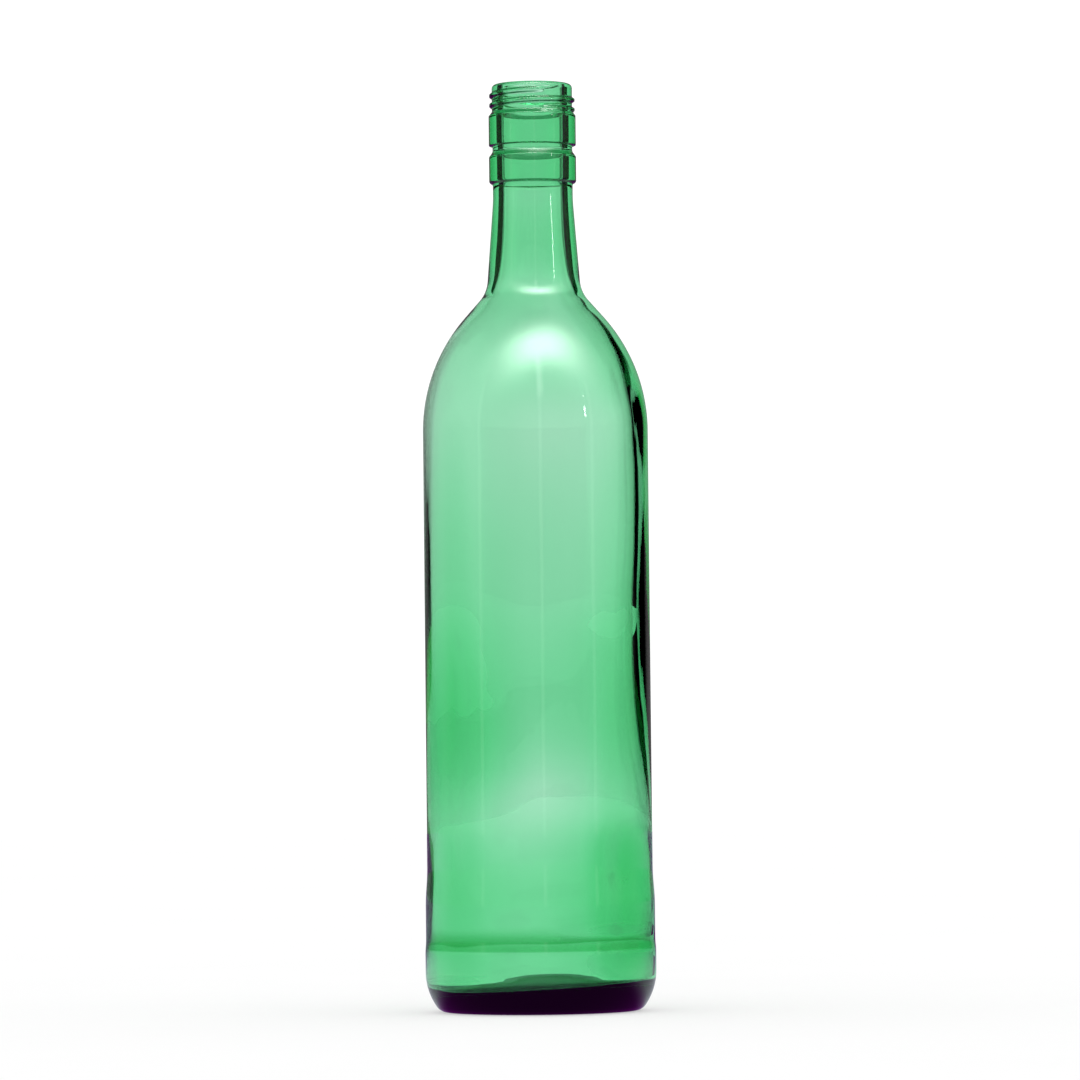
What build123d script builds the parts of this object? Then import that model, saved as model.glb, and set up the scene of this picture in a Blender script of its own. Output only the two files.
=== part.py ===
"""Green glass bottle of three quarters of a litre, with a collared screw finish.

The bottle is one blown piece of glass, so it is one solid in one node. The frame is +Z up
with the origin at the centre of the base. All lengths are in millimetres.
"""

import os
from math import atan2, cos, degrees, radians, sin

from build123d import *

# Overall
TOTAL_HEIGHT = 306.0
HEEL_RADIUS = 38.0  # the widest part of the bottle, just above the base
WAIST_RADIUS = 37.75  # a low band between the heel and the label panel
PANEL_RADIUS = 37.15  # the label panel, slightly sunk above the waist

# Base
PUSH_UP_HEIGHT = 5.0  # how far the base is domed upwards in the middle
PUSH_UP_RADIUS = 27.5
HEEL_CORNER_RADIUS = 4.0
HEEL_CORNER_ANGLE = 55
HEEL_FLANK_RADIUS = 20.0
HEEL_FLANK_ANGLE = 90 - HEEL_CORNER_ANGLE

# Heights of the changes of section up the body
HEEL_TOP = 19.0
WAIST_BOTTOM = 24.0
WAIST_TOP = 35.0
PANEL_BOTTOM = 47.0
SHOULDER_START = 191.0

# Shoulder and neck: an arc, a short cone that goes on from it, and a hollow fillet
SHOULDER_ARC_RADIUS = 57.0
SHOULDER_ARC_ANGLE = 41.5
SHOULDER_CONE_LENGTH = 7.3
NECK_TAPER = 4.3  # degrees
NECK_FILLET = 11.0
NECK_TOP_RADIUS = 13.2
NECK_TOP = 268.0

# Finish: lower collar, locking groove, upper collar, thread and lip
COLLAR_RADIUS = 14.4
LOWER_COLLAR_FOOT = 272.8
LOWER_COLLAR_BOTTOM = 274.4
LOWER_COLLAR_TOP = 282.3
GROOVE_RADIUS = 13.2
GROOVE_BOTTOM = 283.8
GROOVE_TOP = 285.6
UPPER_COLLAR_TOP = 295.9
THREAD_ROOT_RADIUS = 13.3
THREAD_ROOT_BOTTOM = 297.0
LIP_CORNER = 1.3
MOUTH_ROUND = 0.6

# Thread: right hand, two turns, running out to nothing at both ends
THREAD_PITCH = 3.2
THREAD_TURNS = 1.8
THREAD_DEPTH = 0.85
THREAD_FOOT_WIDTH = 2.0
THREAD_CREST_WIDTH = 0.7
THREAD_BOTTOM = 297.1  # height of the ridge's middle where it starts
THREAD_START_ANGLE = -40  # seen from above, from +X
RUN_OUT_TURN = 40  # degrees over which the ridge sinks into the wall
RUN_OUT_SINK = 1.1

# Bore, and the cavity below it. Each station is a height, a radius and how far the
# cavity's centre lies towards -X: the glass settled thicker on the +X side.
BORE_RADIUS = 10.0
BORE_BOTTOM = 286.0
CAVITY_STATIONS = [
    (BORE_BOTTOM, BORE_RADIUS, 0.0),
    (275.0, 9.9, 0.0),
    (262.0, 9.9, 0.0),
    (250.0, 10.8, 0.0),
    (241.5, 12.1, 0.1),
    (235.5, 13.9, 0.2),
    (229.0, 19.2, 0.4),
    (219.0, 26.0, 0.6),
    (206.0, 31.1, 0.9),
    (190.0, 33.6, 1.2),
    (160.0, 33.9, 1.3),
    (120.0, 33.9, 1.4),
    (80.0, 34.0, 1.1),
    (45.0, 34.1, 0.7),
    (18.0, 33.9, 0.5),
    (2.0, 33.6, 0.5),
]

# Inner floor: domed like the base, and standing higher towards +X
FLOOR_TILT = 2.2  # degrees
FLOOR_DOME_HEIGHT = 12.0
FLOOR_EDGE_HEIGHT = 7.6
FLOOR_EDGE_RADIUS = 30.0
FLOOR_CORNER_HEIGHT = 13.0
FLOOR_BLOCK_RADIUS = 36.0

# Mould seams, on opposite sides of the bottle: bottom, top and radius of each run
SEAM_PLANE_ANGLE = 85  # from +X
SEAM_STANDOFF = 0.12
SEAM_WIDTH = 0.5
SEAM_RUNS = [
    (PANEL_BOTTOM + 3, SHOULDER_START - 3, PANEL_RADIUS),
    (LOWER_COLLAR_BOTTOM + 0.5, LOWER_COLLAR_TOP - 0.5, COLLAR_RADIUS),
    (GROOVE_TOP + 0.8, UPPER_COLLAR_TOP - 0.8, COLLAR_RADIUS),
]

PUSH_UP_ARC_RADIUS = (PUSH_UP_RADIUS**2 + PUSH_UP_HEIGHT**2) / (2 * PUSH_UP_HEIGHT)

# The bearing ring's outer edge follows from the two arcs of the heel.
BEARING_RADIUS = (
    HEEL_RADIUS
    - HEEL_CORNER_RADIUS * sin(radians(HEEL_CORNER_ANGLE))
    - HEEL_FLANK_RADIUS * (1 - cos(radians(HEEL_FLANK_ANGLE)))
)


def plane_across(path):
    """The plane at the start of a helix, with its X axis pointing away from the Z axis."""
    start = path @ 0
    outwards = Vector(start.X, start.Y, 0).normalized()
    return Plane(origin=start, x_dir=outwards, z_dir=path % 0)


def thread_ridge(path):
    """A ridge of the thread's section, swept along a helix on the thread's root."""
    foot = THREAD_FOOT_WIDTH / 2
    crest = THREAD_CREST_WIDTH / 2
    with BuildPart() as ridge:
        with BuildSketch(plane_across(path)):
            with BuildLine():
                Polyline(
                    (-0.6, -foot),
                    (0, -foot),
                    (THREAD_DEPTH, -crest),
                    (THREAD_DEPTH, crest),
                    (0, foot),
                    (-0.6, foot),
                    close=True,
                )
            make_face()
        sweep(path=path, is_frenet=True)
    return ridge.part


# Outside of the bottle as a solid body of revolution
with BuildPart() as outside:
    with BuildSketch(Plane.XZ) as outline:
        with BuildLine():
            crown = (0, PUSH_UP_HEIGHT)
            push_up_edge = (PUSH_UP_RADIUS, 0)
            RadiusArc(crown, push_up_edge, PUSH_UP_ARC_RADIUS)
            bearing = Line(push_up_edge, (BEARING_RADIUS, 0))
            corner = JernArc(bearing @ 1, (1, 0), HEEL_CORNER_RADIUS, HEEL_CORNER_ANGLE)
            flank = JernArc(corner @ 1, corner % 1, HEEL_FLANK_RADIUS, HEEL_FLANK_ANGLE)
            heel = Line(flank @ 1, (HEEL_RADIUS, HEEL_TOP))
            waist_foot = Spline(heel @ 1, (WAIST_RADIUS, WAIST_BOTTOM), tangents=[(0, 1), (0, 1)])
            waist = Line(waist_foot @ 1, (WAIST_RADIUS, WAIST_TOP))
            panel_foot = Spline(waist @ 1, (PANEL_RADIUS, PANEL_BOTTOM), tangents=[(0, 1), (0, 1)])
            panel = Line(panel_foot @ 1, (PANEL_RADIUS, SHOULDER_START))
            shoulder = JernArc(panel @ 1, (0, 1), SHOULDER_ARC_RADIUS, SHOULDER_ARC_ANGLE)
            cone = PolarLine(shoulder @ 1, SHOULDER_CONE_LENGTH, direction=shoulder % 1)
            neck_foot = JernArc(
                cone @ 1,
                cone % 1,
                NECK_FILLET,
                NECK_TAPER - SHOULDER_ARC_ANGLE,
            )
            Polyline(
                neck_foot @ 1,
                (NECK_TOP_RADIUS, NECK_TOP),
                (NECK_TOP_RADIUS, LOWER_COLLAR_FOOT),
                (COLLAR_RADIUS, LOWER_COLLAR_BOTTOM),
                (COLLAR_RADIUS, LOWER_COLLAR_TOP),
                (GROOVE_RADIUS, GROOVE_BOTTOM),
                (GROOVE_RADIUS, GROOVE_TOP),
                (COLLAR_RADIUS, GROOVE_TOP),
                (COLLAR_RADIUS, UPPER_COLLAR_TOP),
                (THREAD_ROOT_RADIUS, THREAD_ROOT_BOTTOM),
                (THREAD_ROOT_RADIUS, TOTAL_HEIGHT - LIP_CORNER),
            )
            lip_inner = THREAD_ROOT_RADIUS - LIP_CORNER
            JernArc((THREAD_ROOT_RADIUS, TOTAL_HEIGHT - LIP_CORNER), (0, 1), LIP_CORNER, 90)
            Polyline((lip_inner, TOTAL_HEIGHT), (0, TOTAL_HEIGHT), crown)
        make_face()
    revolve(axis=Axis.Z)

# Thread, with a run-out at each end that sinks below the root
slant = degrees(atan2(RUN_OUT_SINK, THREAD_PITCH * RUN_OUT_TURN / 360))
with BuildLine() as thread_path:
    Helix(pitch=THREAD_PITCH, height=THREAD_PITCH * THREAD_TURNS, radius=THREAD_ROOT_RADIUS)
with BuildLine() as run_out_path:
    Helix(
        pitch=THREAD_PITCH / cos(radians(slant)),
        height=THREAD_PITCH * RUN_OUT_TURN / 360,
        radius=THREAD_ROOT_RADIUS,
        cone_angle=-slant,
    )
full_ridge = thread_ridge(thread_path.line)
run_out = thread_ridge(run_out_path.line)
lower_run_out = run_out.rotate(Axis.X, 180)
upper_run_out = run_out.rotate(Axis.Z, 360 * THREAD_TURNS)
upper_run_out = upper_run_out.moved(Location((0, 0, THREAD_PITCH * THREAD_TURNS)))
thread_place = Location((0, 0, THREAD_BOTTOM), (0, 0, THREAD_START_ANGLE))

# Straight bore with its rounded mouth
with BuildPart() as bore:
    with BuildSketch(Plane.XZ):
        with BuildLine():
            mouth_edge = BORE_RADIUS + MOUTH_ROUND
            Polyline(
                (0, BORE_BOTTOM),
                (BORE_RADIUS, BORE_BOTTOM),
                (BORE_RADIUS, TOTAL_HEIGHT - MOUTH_ROUND),
            )
            JernArc((BORE_RADIUS, TOTAL_HEIGHT - MOUTH_ROUND), (0, 1), MOUTH_ROUND, -90)
            Polyline(
                (mouth_edge, TOTAL_HEIGHT),
                (mouth_edge, TOTAL_HEIGHT + 2),
                (0, TOTAL_HEIGHT + 2),
                (0, BORE_BOTTOM),
            )
        make_face()
    revolve(axis=Axis.Z)

# Block that stops the cavity at the inner floor
with BuildPart() as floor_block:
    with BuildSketch(Plane.XZ):
        with BuildLine():
            floor_rise = FLOOR_DOME_HEIGHT - FLOOR_EDGE_HEIGHT
            floor_arc_radius = (FLOOR_EDGE_RADIUS**2 + floor_rise**2) / (2 * floor_rise)
            dome = RadiusArc(
                (0, FLOOR_DOME_HEIGHT),
                (FLOOR_EDGE_RADIUS, FLOOR_EDGE_HEIGHT),
                floor_arc_radius,
            )
            wall = Spline(
                dome @ 1,
                (FLOOR_BLOCK_RADIUS, FLOOR_CORNER_HEIGHT),
                tangents=[dome % 1, (0.15, 1)],
            )
            Polyline(wall @ 1, (FLOOR_BLOCK_RADIUS, -20), (0, -20), (0, FLOOR_DOME_HEIGHT))
        make_face()
    revolve(axis=Axis.Z)

# Cavity of the body, shoulder and neck
with BuildPart() as cavity:
    for height, radius, shift in CAVITY_STATIONS:
        with BuildSketch(Plane.XY.offset(height)):
            with Locations((-shift, 0)):
                Circle(radius)
    loft()
    add(floor_block.part.rotate(Axis.Y, -FLOOR_TILT), mode=Mode.SUBTRACT)

# Thin standing seams along the straight runs of the outside
with BuildPart() as seams:
    for bottom, top, radius in SEAM_RUNS:
        with Locations((0, 0, (bottom + top) / 2)):
            Box(2 * (radius + SEAM_STANDOFF), SEAM_WIDTH, top - bottom)

# The bottle: outside, thread and seams, less the cavity and the bore
with BuildPart() as bottle_glass:
    add(outside.part)
    add(full_ridge.moved(thread_place))
    add(lower_run_out.moved(thread_place))
    add(upper_run_out.moved(thread_place))
    add(seams.part.rotate(Axis.Z, SEAM_PLANE_ANGLE))
    add(cavity.part, mode=Mode.SUBTRACT)
    add(bore.part, mode=Mode.SUBTRACT)

bottle_glass.part.label = "bottle_glass"
os.makedirs("parts", exist_ok=True)
export_step(bottle_glass.part, "parts/bottle_glass.step")
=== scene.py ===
import math

import bpy
from mathutils import Matrix, Vector, noise


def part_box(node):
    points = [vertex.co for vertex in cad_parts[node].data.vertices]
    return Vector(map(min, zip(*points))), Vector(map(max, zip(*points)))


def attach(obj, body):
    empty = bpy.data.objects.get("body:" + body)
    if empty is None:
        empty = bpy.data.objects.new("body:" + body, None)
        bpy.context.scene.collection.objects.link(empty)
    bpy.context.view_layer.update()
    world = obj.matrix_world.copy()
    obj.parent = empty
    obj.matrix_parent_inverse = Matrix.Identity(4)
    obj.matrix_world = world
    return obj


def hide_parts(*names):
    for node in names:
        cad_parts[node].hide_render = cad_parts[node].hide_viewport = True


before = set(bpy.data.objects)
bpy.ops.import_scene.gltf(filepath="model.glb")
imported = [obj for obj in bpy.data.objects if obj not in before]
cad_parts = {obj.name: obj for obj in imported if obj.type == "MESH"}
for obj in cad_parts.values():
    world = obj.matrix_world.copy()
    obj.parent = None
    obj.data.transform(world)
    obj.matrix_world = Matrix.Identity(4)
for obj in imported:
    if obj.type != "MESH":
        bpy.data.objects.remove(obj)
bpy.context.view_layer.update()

LOW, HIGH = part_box("bottle_glass")
MM = 0.001
TOP = (HIGH[2] - LOW[2]) / MM
HEEL_R = 38.0
SIDES = 180
ANGLES = [2 * math.pi * i / SIDES for i in range(SIDES)]

scene = bpy.context.scene


# ---------------------------------------------------------------- outline helpers
def line(a, b, count):
    """Points from a to b, with a left out."""
    return [
        (a[0] + (b[0] - a[0]) * i / count, a[1] + (b[1] - a[1]) * i / count)
        for i in range(1, count + 1)
    ]


def arc(centre, radius, start, stop, count):
    """Points on an arc, with the first left out; angles in degrees from +r towards +z."""
    points = []
    for i in range(1, count + 1):
        angle = math.radians(start + (stop - start) * i / count)
        points.append(
            (centre[0] + radius * math.cos(angle), centre[1] + radius * math.sin(angle))
        )
    return points


def step(a, b, count):
    """A soft step from a to b, upright at both ends, with a left out."""
    points = []
    for i in range(1, count + 1):
        t = i / count
        s = t * t * (3 - 2 * t)
        points.append((a[0] + (b[0] - a[0]) * s, a[1] + (b[1] - a[1]) * t))
    return points


def along(stations):
    """A smooth function of z through stations of (z, value, value ...)."""
    stations = sorted(stations)

    def value(z):
        z = min(max(z, stations[0][0]), stations[-1][0])
        k = max(i for i in range(len(stations) - 1) if stations[i][0] <= z)
        before = stations[max(k - 1, 0)]
        here, after = stations[k], stations[k + 1]
        beyond = stations[min(k + 2, len(stations) - 1)]
        span = after[0] - here[0]
        t = (z - here[0]) / span
        result = []
        for c in range(1, len(here)):
            slope0 = (after[c] - before[c]) / (after[0] - before[0]) * span
            slope1 = (beyond[c] - here[c]) / (beyond[0] - here[0]) * span
            result.append(
                (2 * t**3 - 3 * t**2 + 1) * here[c]
                + (t**3 - 2 * t**2 + t) * slope0
                + (3 * t**2 - 2 * t**3) * after[c]
                + (t**3 - t**2) * slope1
            )
        return result

    return value


def hump(x, centre, width):
    """1 at centre, falling smoothly to 0 at about two widths away."""
    return math.exp(-(((x - centre) / width) ** 2))


def turn_between(a, b):
    """The signed angle from b to a, within half a turn either way."""
    return (a - b + math.pi) % (2 * math.pi) - math.pi


# ---------------------------------------------------------------- outside of the glass
# The same dimensions as the CAD, in millimetres.
PUSH_R, PUSH_H = 27.5, 5.0
CORNER_R, CORNER_ANGLE, FLANK_R = 4.0, 55, 20.0
HEEL_TOP = 19
WAIST_R, WAIST_LOW, WAIST_HIGH = 37.75, 24, 35
PANEL_R, PANEL_LOW, PANEL_HIGH = 37.15, 47, 191
SHOULDER_R, SHOULDER_ANGLE, CONE_LENGTH = 57, 41.5, 7.3
FILLET_R, TAPER = 11, 4.3
NECK_R, NECK_TOP = 13.2, 268
COLLAR_R, COLLAR_ROUND = 14.4, 0.6
LOWER_COLLAR = (274.0, 281.7)
GROOVE = (283.8, 285.2)
UPPER_COLLAR = (285.9, 295.3)
ROOT_R, ROOT_LOW = 13.3, 296.9
LIP_ROUND = 1.4


def foot_outline():
    """The outline from beside the middle of the base up to the heel's widest band."""
    push_arc = (PUSH_R**2 + PUSH_H**2) / (2 * PUSH_H)
    half = math.degrees(math.asin(PUSH_R / push_arc))
    tilt = math.radians(CORNER_ANGLE)
    bearing = HEEL_R - CORNER_R * math.sin(tilt) - FLANK_R * (1 - math.sin(tilt))
    flank_z = CORNER_R - CORNER_R * math.cos(tilt) + FLANK_R * math.cos(tilt)

    points = arc((0, PUSH_H - push_arc), push_arc, 90, 90 - half, 16)
    points += line((PUSH_R, 0), (bearing, 0), 4)
    points += arc((bearing, CORNER_R), CORNER_R, -90, CORNER_ANGLE - 90, 10)
    points += arc((HEEL_R - FLANK_R, flank_z), FLANK_R, CORNER_ANGLE - 90, 0, 14)
    points += line((HEEL_R, flank_z), (HEEL_R, HEEL_TOP), 4)
    return points


def body_outline():
    """The outline of the waist, the label panel, the shoulder and the neck."""
    points = step((HEEL_R, HEEL_TOP), (WAIST_R, WAIST_LOW), 10)
    points += line((WAIST_R, WAIST_LOW), (WAIST_R, WAIST_HIGH), 4)
    points += step((WAIST_R, WAIST_HIGH), (PANEL_R, PANEL_LOW), 12)
    points += line((PANEL_R, PANEL_LOW), (PANEL_R, PANEL_HIGH), 24)
    points += arc((PANEL_R - SHOULDER_R, PANEL_HIGH), SHOULDER_R, 0, SHOULDER_ANGLE, 44)
    lean = math.radians(SHOULDER_ANGLE)
    end = points[-1]
    cone = (end[0] - CONE_LENGTH * math.sin(lean), end[1] + CONE_LENGTH * math.cos(lean))
    points += line(end, cone, 5)
    hollow = (cone[0] + FILLET_R * math.cos(lean), cone[1] + FILLET_R * math.sin(lean))
    points += arc(hollow, FILLET_R, 180 + SHOULDER_ANGLE, 180 + TAPER, 18)
    points += line(points[-1], (NECK_R + 0.1, NECK_TOP - 2), 14)
    points += line(points[-1], (NECK_R, NECK_TOP), 2)
    return points


def finish_outline():
    """The outline of the two collars, the groove, the thread's root and the lip."""
    low, high = LOWER_COLLAR
    points = line((NECK_R, NECK_TOP), (NECK_R, low - 1.6), 3)
    points += line(points[-1], (NECK_R + 0.25, low - 1), 3)
    points += arc((COLLAR_R - 1, low), 1.0, -75, 0, 6)
    points += line((COLLAR_R, low), (COLLAR_R, high), 8)
    points += arc((COLLAR_R - COLLAR_ROUND, high), COLLAR_ROUND, 0, 50, 4)

    bottom, top = GROOVE
    points += line(points[-1], (NECK_R + 0.2, bottom - 0.5), 4)
    points += line(points[-1], (NECK_R, bottom), 2)
    points += line((NECK_R, bottom), (NECK_R, top), 3)
    points += arc((NECK_R + 0.35, top), 0.35, 180, 90, 3)

    low, high = UPPER_COLLAR
    points += line(points[-1], (COLLAR_R - 0.3, low - 0.3), 2)
    points += arc((COLLAR_R - 0.3, low), 0.3, -90, 0, 4)
    points += line((COLLAR_R, low), (COLLAR_R, high), 9)
    points += arc((COLLAR_R - COLLAR_ROUND, high), COLLAR_ROUND, 0, 50, 4)

    points += line(points[-1], (ROOT_R, ROOT_LOW), 4)
    points += line((ROOT_R, ROOT_LOW), (ROOT_R, TOP - LIP_ROUND), 36)
    points += arc((ROOT_R - LIP_ROUND, TOP - LIP_ROUND), LIP_ROUND, 0, 90, 8)
    return points


def outside_outline():
    """(r, z) in millimetres, from beside the middle of the base up to the lip's inner edge."""
    return foot_outline() + body_outline() + finish_outline()


def thread(angle, z):
    """How far the screw thread stands out of its root: one start, right hand."""
    pitch, bottom, turns, run_out = 3.2, 297.1, 1.8, 40 / 360
    depth, half_foot, flank_width = 0.85, 1.05, 0.7
    begin = math.radians(-40)
    turn = ((angle - begin) % (2 * math.pi)) / (2 * math.pi)
    best = 0.0
    for k in range(-1, 3):
        t = turn + k
        if not -run_out < t < turns + run_out:
            continue
        fade = min(1.0, (t + run_out) / run_out, (turns + run_out - t) / run_out)
        fade = math.sin(fade * math.pi / 2)
        away = abs(z - (bottom + pitch * t))
        flank = min(1.0, max(0.0, (half_foot - away) / flank_width))
        best = max(best, depth * fade * flank * flank * (3 - 2 * flank))
    return best


SEAM_ANGLES = (85, -95)
SEAM_LOW, SEAM_HIGH = 15, 296


def seam(angle, z):
    """The two mould seams, a hair's breadth proud, and heavier on the collars."""
    if z < SEAM_LOW or z > SEAM_HIGH:
        return 0.0
    stand, width = 0.05, 0.35
    if z > 272:
        stand, width = 0.10, 0.3
    away = min(abs(turn_between(angle, math.radians(place))) for place in SEAM_ANGLES)
    radius = 14 if z > 240 else 37
    return stand * hump(away * radius, 0, width)


# ---------------------------------------------------------------- inside of the glass
# Blown glass is uneven. Each row is a height and the wall there, in millimetres, at these
# angles from +X: it is thick on the right and thin on the left.
WALL_ANGLES = (0, 37, 58, 90, 122, 143, 160, 180)
WALL = along(
    [
        (242, 2.95, 2.95, 2.95, 2.95, 2.95, 2.95, 2.95, 2.95),
        (234, 2.6, 2.6, 2.7, 2.7, 2.7, 2.6, 2.5, 2.4),
        (227, 2.6, 2.5, 2.4, 2.4, 2.4, 2.3, 2.1, 2.0),
        (220, 2.9, 2.6, 2.3, 2.3, 2.2, 2.1, 1.5, 1.1),
        (208, 3.2, 2.6, 2.3, 2.3, 2.2, 2.0, 1.2, 0.8),
        (195, 3.2, 2.1, 2.0, 2.0, 2.1, 2.0, 1.2, 0.8),
        (175, 3.2, 2.4, 2.3, 2.4, 2.4, 2.4, 1.3, 0.8),
        (155, 3.5, 2.8, 2.7, 2.7, 2.9, 2.9, 1.5, 0.8),
        (135, 4.2, 3.4, 3.0, 2.9, 3.2, 3.4, 1.8, 0.8),
        (120, 4.6, 4.0, 3.6, 3.3, 3.7, 4.2, 2.2, 0.8),
        (105, 4.6, 4.4, 3.9, 3.6, 4.2, 5.0, 2.6, 0.8),
        (93, 4.2, 4.4, 3.8, 3.3, 4.5, 5.2, 3.2, 0.8),
        (82, 3.4, 3.9, 3.2, 2.6, 4.0, 4.8, 3.3, 0.8),
        (76, 2.9, 3.6, 2.9, 2.2, 3.5, 4.3, 3.1, 0.8),
        (70, 2.5, 3.4, 2.8, 2.1, 3.1, 3.9, 2.7, 0.8),
        (62, 2.1, 3.7, 3.1, 2.4, 2.9, 3.5, 2.3, 0.8),
        (50, 2.3, 5.6, 4.4, 3.4, 3.6, 4.0, 2.0, 0.8),
        (38, 2.8, 5.7, 4.8, 4.0, 4.1, 4.2, 2.0, 1.0),
        (28, 3.6, 6.0, 5.0, 4.1, 4.1, 4.2, 2.4, 1.3),
        (18, 3.6, 5.6, 4.6, 4.1, 4.2, 4.2, 2.8, 1.8),
        (8, 3.4, 4.2, 4.2, 4.0, 4.0, 4.0, 3.0, 2.2),
    ]
)
# How much glass is moved from the front to behind, on the right and on the left. The most that
# an angle gets is 0.38 of it, at 35 degrees from the side.
SKEW = along(
    [
        (242, 0.0, 0.0),
        (220, -0.9, 0.1),
        (208, -1.1, 0.1),
        (190, -0.9, 0.2),
        (168, -0.6, 0.2),
        (150, -0.2, 0.2),
        (135, 0.2, 0.2),
        (118, 0.8, 0.2),
        (102, 1.0, 0.2),
        (82, 0.8, 0.2),
        (69, 0.5, 0.2),
        (56, 0.1, 0.2),
        (44, -0.3, -0.2),
        (8, -0.3, -0.2),
    ]
)
# The same low on the right, over a short height.
FOOT_LUMP, FOOT_LUMP_Z, FOOT_LUMP_WIDTH = 2.3, 24.5, 3.2
NECK_BORE = along(
    [
        (286, 10.0),
        (275, 9.9),
        (266, 9.9),
        (256, 10.3),
        (248, 11.1),
        (242, 12.1),
        (236, 13.2),
    ]
)


def wall_at(row, angle):
    """The wall at an angle, from the row of walls at one height."""
    degrees = abs(math.degrees(turn_between(angle, 0)))
    k = max(i for i in range(len(WALL_ANGLES) - 1) if WALL_ANGLES[i] <= degrees)
    start, stop = WALL_ANGLES[k], WALL_ANGLES[k + 1]
    t = (degrees - start) / (stop - start)
    # mirrored at both ends, so the wall has no crease there
    before = row[k - 1] if k > 0 else row[1]
    beyond = row[k + 2] if k + 2 < len(row) else row[-2]
    here, after = row[k], row[k + 1]
    left_span = WALL_ANGLES[k] - WALL_ANGLES[k - 1] if k > 0 else stop - start
    right_span = WALL_ANGLES[k + 2] - stop if k + 2 < len(row) else stop - start
    slope0 = (after - before) / (stop - start + left_span) * (stop - start)
    slope1 = (beyond - here) / (stop - start + right_span) * (stop - start)
    return (
        (2 * t**3 - 3 * t**2 + 1) * here
        + (t**3 - 2 * t**2 + t) * slope0
        + (3 * t**2 - 2 * t**3) * after
        + (t**3 - t**2) * slope1
    )


def wavy(z, angle):
    """The unevenness of the blown inner wall, in millimetres; calm at the silhouettes."""
    p = Vector((math.cos(angle) * 1.5, math.sin(angle) * 1.5, 3 + z * 0.025))
    q = Vector((math.cos(angle) * 4.0, math.sin(angle) * 4.0, 9 + z * 0.03))
    calm = 1 - 0.85 * math.cos(angle) ** 4
    return calm * (0.25 * noise.noise(p) + 0.07 * noise.noise(q))


def glass_wall(z, angle):
    """The wall of the body at a height and an angle from +X, square to the surface."""
    right, left = SKEW(z)
    across = math.cos(angle)
    lopsided = right * max(0.0, across) ** 2 + left * max(0.0, -across) ** 2
    lopsided += FOOT_LUMP * hump(z, FOOT_LUMP_Z, FOOT_LUMP_WIDTH) * max(0.0, across) ** 2
    wall = wall_at(WALL(z), angle) + lopsided * math.sin(angle)
    return wall + wavy(z, angle)


def outside_radius(z, outline):
    """The outside radius of the body or shoulder at a height."""
    for (r0, z0), (r1, z1) in zip(outline, outline[1:]):
        if z0 <= z <= z1 and z1 > z0:
            return r0 + (r1 - r0) * (z - z0) / (z1 - z0)
    return outline[-1][0]


# The inner floor, in millimetres: a low dome that slopes up to the right
FLOOR_RIM_R = 30.5
FLOOR_RIM_Z = 7.6
FLOOR_CROWN_Z = 12.0
FLOOR_TILT = 0.0445

# The bore, and the heights over which the neck's bore turns into the body's wall
BORE_R, BORE_LOW, MOUTH_ROUND = 10, 286, 0.6
BLEND_HIGH, BLEND_SPAN = 243, 6.0


def neck_rings():
    """The bore's rings, from the rounded mouth down to where the body's wall starts."""
    profile = arc((BORE_R + MOUTH_ROUND, TOP - MOUTH_ROUND), MOUTH_ROUND, 90, 180, 5)
    profile += line((BORE_R, TOP - MOUTH_ROUND), (BORE_R, BORE_LOW), 12)
    profile += [(NECK_BORE(z)[0], z) for z in [BORE_LOW - 1.5 * i for i in range(1, 29)]]
    return [[(r * math.cos(a), r * math.sin(a), z) for a in ANGLES] for r, z in profile]


def wall_rings(outline):
    """The rings of the body's uneven wall, closer together at the neck and near the foot."""
    heights = [BLEND_HIGH - i for i in range(0, 15)]
    heights += [228 - 1.5 * i for i in range(0, 131)]
    heights += [32.25 - 0.75 * i for i in range(0, 29)]
    rings = []
    for z in heights:
        outer = outside_radius(z, outline)
        blend = min(1.0, max(0.0, (BLEND_HIGH - z) / BLEND_SPAN))
        blend = blend * blend * (3 - 2 * blend)
        drop = outside_radius(z - 3, outline) - outside_radius(z + 3, outline)
        lean = math.atan2(drop, 6)
        ring = []
        for a in ANGLES:
            wall = glass_wall(z, a) / max(math.cos(lean), 0.55)
            r = (1 - blend) * NECK_BORE(z)[0] + blend * (outer - wall)
            ring.append((r * math.cos(a), r * math.sin(a), z))
        rings.append(ring)
    return rings


def floor_rings(last):
    """The inner floor below the wall's last ring: a round corner, then a low dome."""
    rings = []
    for i in range(1, 15):
        t = math.radians(90 * i / 14)
        ring = []
        for a, (x, y, z) in zip(ANGLES, last):
            r0 = math.hypot(x, y)
            r = FLOOR_RIM_R + (r0 - FLOOR_RIM_R) * math.cos(t)
            low_z = FLOOR_RIM_Z + FLOOR_TILT * r * math.cos(a)
            ring.append((r * math.cos(a), r * math.sin(a), z + (low_z - z) * math.sin(t)))
        rings.append(ring)
    for i in range(1, 16):
        share = 1 - i / 16
        r = FLOOR_RIM_R * share
        z = FLOOR_CROWN_Z + (FLOOR_RIM_Z - FLOOR_CROWN_Z) * share**2
        rings.append(
            [(r * math.cos(a), r * math.sin(a), z + FLOOR_TILT * r * math.cos(a)) for a in ANGLES]
        )
    return rings


def inside_rings(outline):
    """The cavity's rings from the mouth down to beside the floor's middle."""
    rings = neck_rings() + wall_rings(outline)
    return rings + floor_rings(rings[-1])


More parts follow.
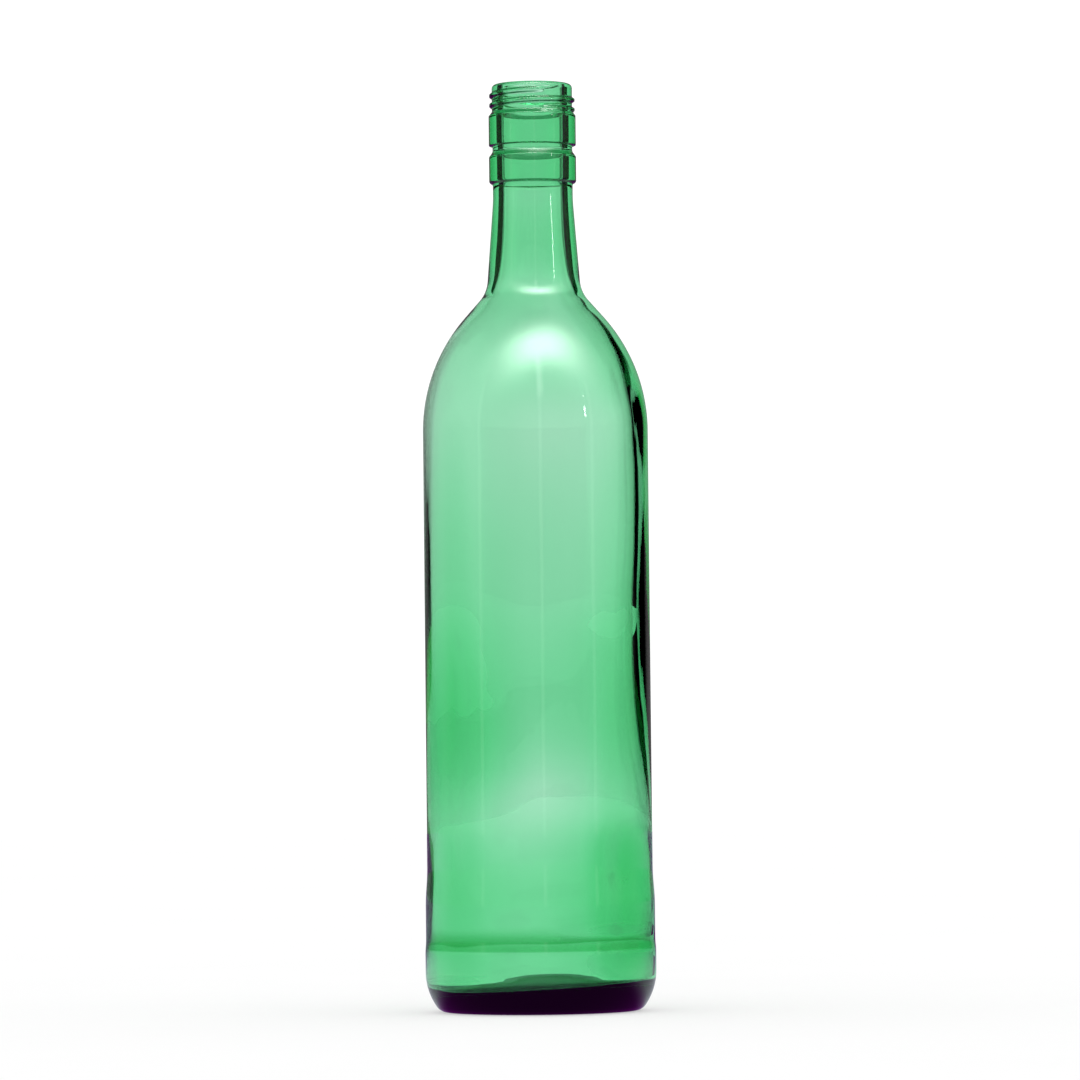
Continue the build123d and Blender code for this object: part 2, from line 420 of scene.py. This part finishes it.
# ---------------------------------------------------------------- the mesh
def build_bottle():
    outline = outside_outline()
    rings = []
    for r, z in outline:
        ring = []
        for angle in ANGLES:
            out = r
            if 296 < z < TOP - 1.5:
                out += thread(angle, z)
            out += seam(angle, z)
            ring.append((out * math.cos(angle), out * math.sin(angle), z))
        rings.append(ring)
    rings += inside_rings(outline)

    vertices = [(x * MM, y * MM, z * MM) for ring in rings for x, y, z in ring]
    faces = []
    for j in range(len(rings) - 1):
        for i in range(SIDES):
            a = j * SIDES + i
            b = j * SIDES + (i + 1) % SIDES
            faces.append((a, b, b + SIDES, a + SIDES))
    middle_out = len(vertices)
    vertices.append((0, 0, PUSH_H * MM))
    middle_in = len(vertices)
    vertices.append((0, 0, FLOOR_CROWN_Z * MM))
    last = (len(rings) - 1) * SIDES
    for i in range(SIDES):
        j = (i + 1) % SIDES
        faces.append((middle_out, j, i))
        faces.append((middle_in, last + i, last + j))

    mesh = bpy.data.meshes.new("bottle")
    mesh.from_pydata(vertices, [], faces)
    mesh.polygons.foreach_set("use_smooth", [True] * len(mesh.polygons))
    mesh.update()
    bottle = bpy.data.objects.new("bottle", mesh)
    scene.collection.objects.link(bottle)
    return bottle


# ---------------------------------------------------------------- materials
class Sums:
    """Shorthand for chains of math, noise and mix nodes."""

    def __init__(self, tree):
        self.tree = tree

    def node(self, kind, operation, *values):
        made = self.tree.nodes.new(kind)
        made.operation = operation
        for socket, value in zip(made.inputs, values):
            if hasattr(value, "links"):
                self.tree.links.new(value, socket)
            else:
                socket.default_value = value
        return made.outputs[0]

    def math(self, operation, *values):
        return self.node("ShaderNodeMath", operation, *values)

    def rest(self, value):
        """What is left of 1."""
        return self.math("SUBTRACT", 1.0, value)

    def product(self, *values):
        total = values[0]
        for value in values[1:]:
            total = self.math("MULTIPLY", total, value)
        return total

    def total(self, *values):
        result = values[0]
        for value in values[1:]:
            result = self.math("ADD", result, value)
        return result

    def split(self, vector):
        """The x, y and z of a vector."""
        made = self.tree.nodes.new("ShaderNodeSeparateXYZ")
        self.tree.links.new(vector, made.inputs[0])
        return made.outputs

    def radius(self, x, y):
        """The distance from the bottle's axis."""
        return self.math("SQRT", self.total(self.math("POWER", x, 2), self.math("POWER", y, 2)))

    def bearing(self, x, y):
        """Degrees from straight behind the bottle, positive to the right."""
        return self.math("MULTIPLY", self.math("ARCTAN2", x, y), 180 / math.pi)

    def spread(self, place, scale, detail):
        """Noise over a place, or over the object's own box if there is none."""
        made = self.tree.nodes.new("ShaderNodeTexNoise")
        made.inputs["Scale"].default_value = scale
        made.inputs["Detail"].default_value = detail
        if place:
            self.tree.links.new(place, made.inputs["Vector"])
        return made.outputs["Fac"]

    def mix(self, factor, first, second):
        """The first colour where the factor is 0, and the second where it is 1."""
        made = self.tree.nodes.new("ShaderNodeMix")
        made.data_type = "RGBA"
        for name, value in (("Factor", factor), ("A", first), ("B", second)):
            if hasattr(value, "links"):
                self.tree.links.new(value, made.inputs[name])
            else:
                made.inputs[name].default_value = value
        return made.outputs["Result"]

    def blend(self, factor, first, second):
        """The same for two shaders."""
        made = self.tree.nodes.new("ShaderNodeMixShader")
        for socket, value in zip(made.inputs, (factor, first, second)):
            self.tree.links.new(value, socket)
        return made.outputs[0]

    def ramp_mm(self, value, low, high):
        """A ramp between two places in millimetres."""
        return self.ramp(value, low * MM, high * MM)

    def ramp(self, value, low, high):
        """0 below low, 1 above high, smooth between."""
        made = self.tree.nodes.new("ShaderNodeMapRange")
        made.interpolation_type = "SMOOTHSTEP"
        self.tree.links.new(value, made.inputs["Value"])
        made.inputs["From Min"].default_value = low
        made.inputs["From Max"].default_value = high
        return made.outputs["Result"]

    def window(self, value, low, high, soft):
        """1 between low and high, 0 outside, with soft edges."""
        rise = self.ramp(value, low - soft / 2, low + soft / 2)
        fall = self.ramp(value, high - soft / 2, high + soft / 2)
        return self.math("SUBTRACT", rise, fall)


def new_material(name):
    material = bpy.data.materials.new(name)
    material.use_nodes = True
    tree = material.node_tree
    tree.nodes.clear()
    output = tree.nodes.new("ShaderNodeOutputMaterial")
    return material, tree, output


# Where the tinted zones, the zones of painted shade and the worn ring start and where they are
# full, in millimetres
FOOT_LINE_Z = 6.5  # the foot's upper edge, which rises to the right with the inner floor ...
FOOT_PLUNGE = -0.038  # ... and rises towards the front
FOOT_EDGE = (-0.1, 0.3)
FOOT_RADIUS = (33.5, 34.0)
UNDERSIDE = (5.0, 5.4)
RING_EDGE = (20.1, 20.8)
RING_FADE = (21.0, 27.0)
FINISH_LOW, FINISH_HIGH = 271.5, 304.5
FINISH_OUTSIDE = (12.9, 13.0)
INNER_FLOOR_LOW = (5.4, 6.0)
INNER_FLOOR_HIGH = (13.0, 14.0)
INNER_FLOOR_EDGE = (29.0, 31.0)
WORN = (0.2, 0.7)

# How much red, green and blue light a millimetre of the glass takes
ABSORBED_PER_MM = (0.22, 0.040, 0.133)


def tint_and_painted_shade(do, x, y, z, radius, clouds):
    """The colour of the glass's surface: clear, with a dark ring, and painted shade on the
    finish's slopes and on the foot.
    """
    colour = do.mix(clouds, (0.94, 0.98, 0.95, 1), (1.0, 1.0, 1.0, 1))

    # a darker ring above the heel, with a sharp lower edge
    ring = do.product(do.ramp_mm(z, *RING_EDGE), do.rest(do.ramp_mm(z, *RING_FADE)))
    colour = do.mix(ring, colour, (0.42, 0.76, 0.52, 1))

    # the slopes of the collars and the thread throw the light aside, so they look dark
    normal = do.split(do.tree.nodes.new("ShaderNodeNewGeometry").outputs["Normal"])
    slopes = do.ramp(do.math("ABSOLUTE", normal[2]), 0.25, 0.6)
    finish = do.window(z, FINISH_LOW * MM, FINISH_HIGH * MM, 0.2 * MM)
    edges = do.product(slopes, finish, do.ramp_mm(radius, *FINISH_OUTSIDE))
    colour = do.mix(edges, colour, (0.05, 0.18, 0.10, 1))

    # painted shade: the foot, below the slanting line where the inner floor meets the wall, and
    # the underside are painted near-black violet
    across, deep = do.product(x, FLOOR_TILT), do.product(y, FOOT_PLUNGE)
    below = do.math("SUBTRACT", do.total(across, deep, FOOT_LINE_Z * MM), z)
    side = do.product(do.ramp_mm(below, *FOOT_EDGE), do.ramp_mm(radius, *FOOT_RADIUS))
    foot = do.math("MAXIMUM", side, do.rest(do.ramp_mm(z, *UNDERSIDE)))
    return do.mix(foot, colour, (0.03, 0.002, 0.04, 1))


def glass_material():
    """Clear green glass: the green comes from the depth of glass, and the foot and the inner
    floor carry painted shade.
    """
    material, tree, output = new_material("green_glass")
    nodes, links = tree.nodes, tree.links
    do = Sums(tree)
    shader = nodes.new("ShaderNodeBsdfPrincipled")
    shader.inputs["IOR"].default_value = 1.52
    shader.inputs["Transmission Weight"].default_value = 1.0

    place = nodes.new("ShaderNodeTexCoord").outputs["Object"]
    x, y, z = do.split(place)
    radius = do.radius(x, y)

    # faint cloudiness, stretched up the bottle as blown glass is
    stretch = nodes.new("ShaderNodeMapping")
    stretch.inputs["Scale"].default_value = (60, 60, 14)
    links.new(place, stretch.inputs["Vector"])
    stretched = stretch.outputs[0]
    tint_and_shade = tint_and_painted_shade(do, x, y, z, radius, do.spread(stretched, 1.0, 3.0))
    links.new(tint_and_shade, shader.inputs["Base Color"])

    # painted shade: half of the inner floor's surface is a dark green diffuse layer, so it passes
    # and mirrors less of the light behind it
    inner = do.product(
        do.ramp_mm(z, *INNER_FLOOR_LOW),
        do.rest(do.ramp_mm(z, *INNER_FLOOR_HIGH)),
        do.rest(do.ramp_mm(radius, *INNER_FLOOR_EDGE)),
    )
    floor_shade_film = nodes.new("ShaderNodeBsdfDiffuse")
    floor_shade_film.inputs["Color"].default_value = (0.03, 0.08, 0.05, 1)
    floor_shaded = do.blend(do.product(inner, 0.5), shader.outputs["BSDF"], floor_shade_film.outputs["BSDF"])
    links.new(floor_shaded, output.inputs["Surface"])

    # the bearing ring is scuffed by standing on shelves
    scuffs = do.ramp(do.spread(place, 900.0, 2.0), 0.35, 0.65)
    worn = do.product(do.rest(do.ramp_mm(z, *WORN)), scuffs, 0.5)
    links.new(worn, shader.inputs["Roughness"])

    # the skin of moulded glass is never quite flat
    bump = nodes.new("ShaderNodeBump")
    bump.inputs["Strength"].default_value = 0.15
    bump.inputs["Distance"].default_value = 0.3 * MM
    links.new(do.spread(stretched, 1.6, 2.0), bump.inputs["Height"])
    links.new(bump.outputs["Normal"], shader.inputs["Normal"])

    absorb = nodes.new("ShaderNodeVolumeAbsorption")
    # what is absorbed is density times the colour's distance from white, here 0.9 at most
    density = max(ABSORBED_PER_MM) / MM / 0.9
    passed = [1 - a / MM / density for a in ABSORBED_PER_MM]
    absorb.inputs["Color"].default_value = (*passed, 1)
    absorb.inputs["Density"].default_value = density
    links.new(absorb.outputs["Volume"], output.inputs["Volume"])
    return material


# The floor's zones: distances from the bottle's axis in metres, and bearings in degrees
# from straight behind it, positive to the right
SHADOW_UNDER_BOTTLE = (0.036, 0.039)
FLAGS_FROM = (0.8, 1.1)
LIT_BEHIND = (-33, 46)
LIT_BESIDE = (58, 70)
PALE_WITHIN = (0.25, 0.7)
PALE_BESIDE = (75, 115)


def floor_zones(do):
    """Where the floor is painted dark through the glass, as a painted shadow under the bottle and
    painted dark flags further out, and where it is painted pale in reflections.
    """
    x, y, z = do.split(do.tree.nodes.new("ShaderNodeNewGeometry").outputs["Position"])
    away = do.radius(x, y)
    bearing = do.bearing(x, y)
    aside = do.math("ABSOLUTE", bearing)
    lit = do.total(do.window(bearing, *LIT_BEHIND, 8), do.ramp(aside, *LIT_BESIDE))
    flagged = do.product(do.ramp(away, *FLAGS_FROM), do.rest(lit))
    # painted shadow under the bottle, and painted dark flags outside the lit bearings
    dark = do.math("MAXIMUM", do.rest(do.ramp(away, *SHADOW_UNDER_BOTTLE)), flagged)
    # close behind and beside the bottle the table is pale, and its reflection is painted pale too
    pale = do.product(do.rest(do.ramp(away, *PALE_WITHIN)), do.rest(do.ramp(aside, *PALE_BESIDE)))
    return dark, pale


def floor_material():
    """Pale floor; in the glass it is painted as the dark violet table under a light tent: painted
    shade through the glass, and a painted violet reflection.
    """
    material, tree, output = new_material("pale_floor")
    nodes, links = tree.nodes, tree.links
    do = Sums(tree)
    shader = nodes.new("ShaderNodeBsdfPrincipled")
    shader.inputs["Roughness"].default_value = 0.9
    shader.inputs["Specular IOR Level"].default_value = 0.0
    shader.inputs["Emission Color"].default_value = (1, 1, 1, 1)
    shader.inputs["Emission Strength"].default_value = 0.5
    grain = do.spread(None, 60.0, 4.0)
    tone = do.mix(grain, (0.44, 0.44, 0.44, 1), (0.46, 0.46, 0.46, 1))
    links.new(tone, shader.inputs["Base Color"])

    path = nodes.new("ShaderNodeLightPath").outputs
    dark, pale = floor_zones(do)
    # painted shade for rays through the glass, and a painted reflection, dim violet or pale, for
    # reflection rays
    under = do.product(dark, path["Is Transmission Ray"])
    mirrored = path["Is Reflection Ray"]
    violet = nodes.new("ShaderNodeEmission")
    links.new(do.mix(pale, (0.79, 0.05, 1.0, 1), (0.85, 0.9, 1.0, 1)), violet.inputs["Color"])
    strength = do.product(mirrored, do.total(do.product(pale, 0.4), 0.18))
    links.new(do.total(strength, 0.01), violet.inputs["Strength"])
    special = do.math("MAXIMUM", mirrored, under)
    mixed = do.blend(special, shader.outputs["BSDF"], violet.outputs[0])
    links.new(mixed, output.inputs["Surface"])
    return material


# ---------------------------------------------------------------- studio, floor, camera
DOME_R = 4.0
DOME_Z = 0.15


def softbox(do, place, facing, tilt, wide, tall):
    """A soft oval light; facing and tilt are its bearing and height, wide and tall its size."""
    turn, up = math.radians(facing), math.radians(tilt)
    out = Vector((math.sin(turn) * math.cos(up), math.cos(turn) * math.cos(up), math.sin(up)))
    side = Vector((math.cos(turn), -math.sin(turn), 0))
    over = side.cross(out)
    squares = []
    for axis, width in ((side, wide), (over, tall)):
        part = [do.product(v, c / (DOME_R * width)) for v, c in zip(place, axis)]
        squares.append(do.math("POWER", do.math("ABSOLUTE", do.total(*part)), 2.6))
    glow = do.math("POWER", 2.7183, do.product(do.total(*squares), -1))
    near = [do.product(v, c / DOME_R) for v, c in zip(place, out)]
    return do.product(glow, do.ramp(do.total(*near), 0.0, 0.2))


def dome_material():
    """Bearings are as on the floor; rises are heights in degrees above the horizon."""
    material, tree, output = new_material("studio_lights")
    do = Sums(tree)
    x, y, z = do.split(tree.nodes.new("ShaderNodeNewGeometry").outputs["Position"])
    bearing = do.bearing(x, y)
    away = do.math("ABSOLUTE", bearing)
    lift = do.math("SUBTRACT", z, DOME_Z)
    rise = do.product(do.math("ARCSINE", do.math("DIVIDE", lift, DOME_R)), 180 / math.pi)
    low = do.window(rise, -91, 40, 8)

    # each light covers some bearings and rises, with soft edges that wide, and has a level
    through = [
        do.product(do.window(bearing, -33, 28, 4), low, 0.95),
        do.product(do.window(away, 64, 121, 6), do.window(rise, -91, 50, 10), 0.8),
        do.product(do.window(away, 121, 190, 6), low, 0.40),
    ]
    reflected = [
        do.product(do.window(bearing, -33, 33, 10), low, 0.15),
        do.product(do.window(away, 64, 119, 12), low, 0.15),
        do.product(do.window(away, 119, 190, 12), low, 0.06),
        do.product(do.window(away, 119, 122.5, 1), do.window(rise, -91, 30, 6), 0.5),
        do.product(do.window(bearing, 173.5, 176.5, 1), do.window(rise, -91, 50, 6), 0.6),
        do.product(do.window(bearing, 171, 178, 3), do.window(rise, 24, 52, 10), 1.6),
        do.product(do.window(bearing, 126.5, 128, 1), do.window(rise, 9, 15, 2), 22.0),
        do.product(do.window(bearing, 126.5, 127.5, 0.6), do.window(rise, 20.6, 21.2, 0.6), 15.0),
    ]
    both_ways = [
        do.product(softbox(do, (x, y, lift), 168, 60, 0.52, 0.24), 9.0),
        do.product(softbox(do, (x, y, lift), 172, 58, 0.80, 0.36), 0.7),
    ]

    mirrored = tree.nodes.new("ShaderNodeLightPath").outputs["Is Reflection Ray"]
    choice = do.product(do.total(*reflected), mirrored)
    other = do.product(do.total(*through), do.rest(mirrored))
    glow = tree.nodes.new("ShaderNodeEmission")
    tree.links.new(do.total(choice, other, do.total(*both_ways)), glow.inputs["Strength"])
    tree.links.new(glow.outputs[0], output.inputs["Surface"])
    return material


def build_dome():
    """The softboxes and dark flags of the studio, seen only in and through the glass."""
    bpy.ops.mesh.primitive_uv_sphere_add(segments=48, ring_count=24, radius=DOME_R)
    dome = bpy.context.object
    dome.name = "studio_dome"
    dome.location = (0, 0, DOME_Z)
    dome.data.materials.append(dome_material())
    dome.visible_camera = False
    dome.visible_diffuse = False
    dome.visible_shadow = False
    return dome


def build_world():
    world = bpy.data.worlds.new("studio")
    scene.world = world
    world.use_nodes = True
    background = world.node_tree.nodes["Background"]
    background.inputs["Color"].default_value = (1, 1, 1, 1)
    background.inputs["Strength"].default_value = 1.12


def build_floor():
    bpy.ops.mesh.primitive_circle_add(vertices=96, radius=3.9, fill_type="NGON")
    floor = bpy.context.object
    floor.name = "floor"
    floor.location.z = LOW[2] - 0.0002
    floor.data.materials.append(floor_material())
    return floor


def build_camera():
    data = bpy.data.cameras.new("camera")
    data.lens = 200
    data.sensor_width = 36
    data.clip_start = 0.05
    data.clip_end = 50
    camera = bpy.data.objects.new("camera", data)
    scene.collection.objects.link(camera)
    camera.location = (0.00116, -1.98, 0.0884)
    pitch = math.radians(90 + 1.93)
    roll = math.radians(-0.605)
    camera.matrix_world = (
        Matrix.Translation(camera.location)
        @ Matrix.Rotation(pitch, 4, "X")
        @ Matrix.Rotation(roll, 4, "Z")
    )
    scene.camera = camera
    return camera


bottle = build_bottle()
bottle.data.materials.append(glass_material())
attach(bottle, "root")
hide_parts("bottle_glass")
build_floor()
build_dome()
build_world()
build_camera()
scene.view_settings.view_transform = "Standard"
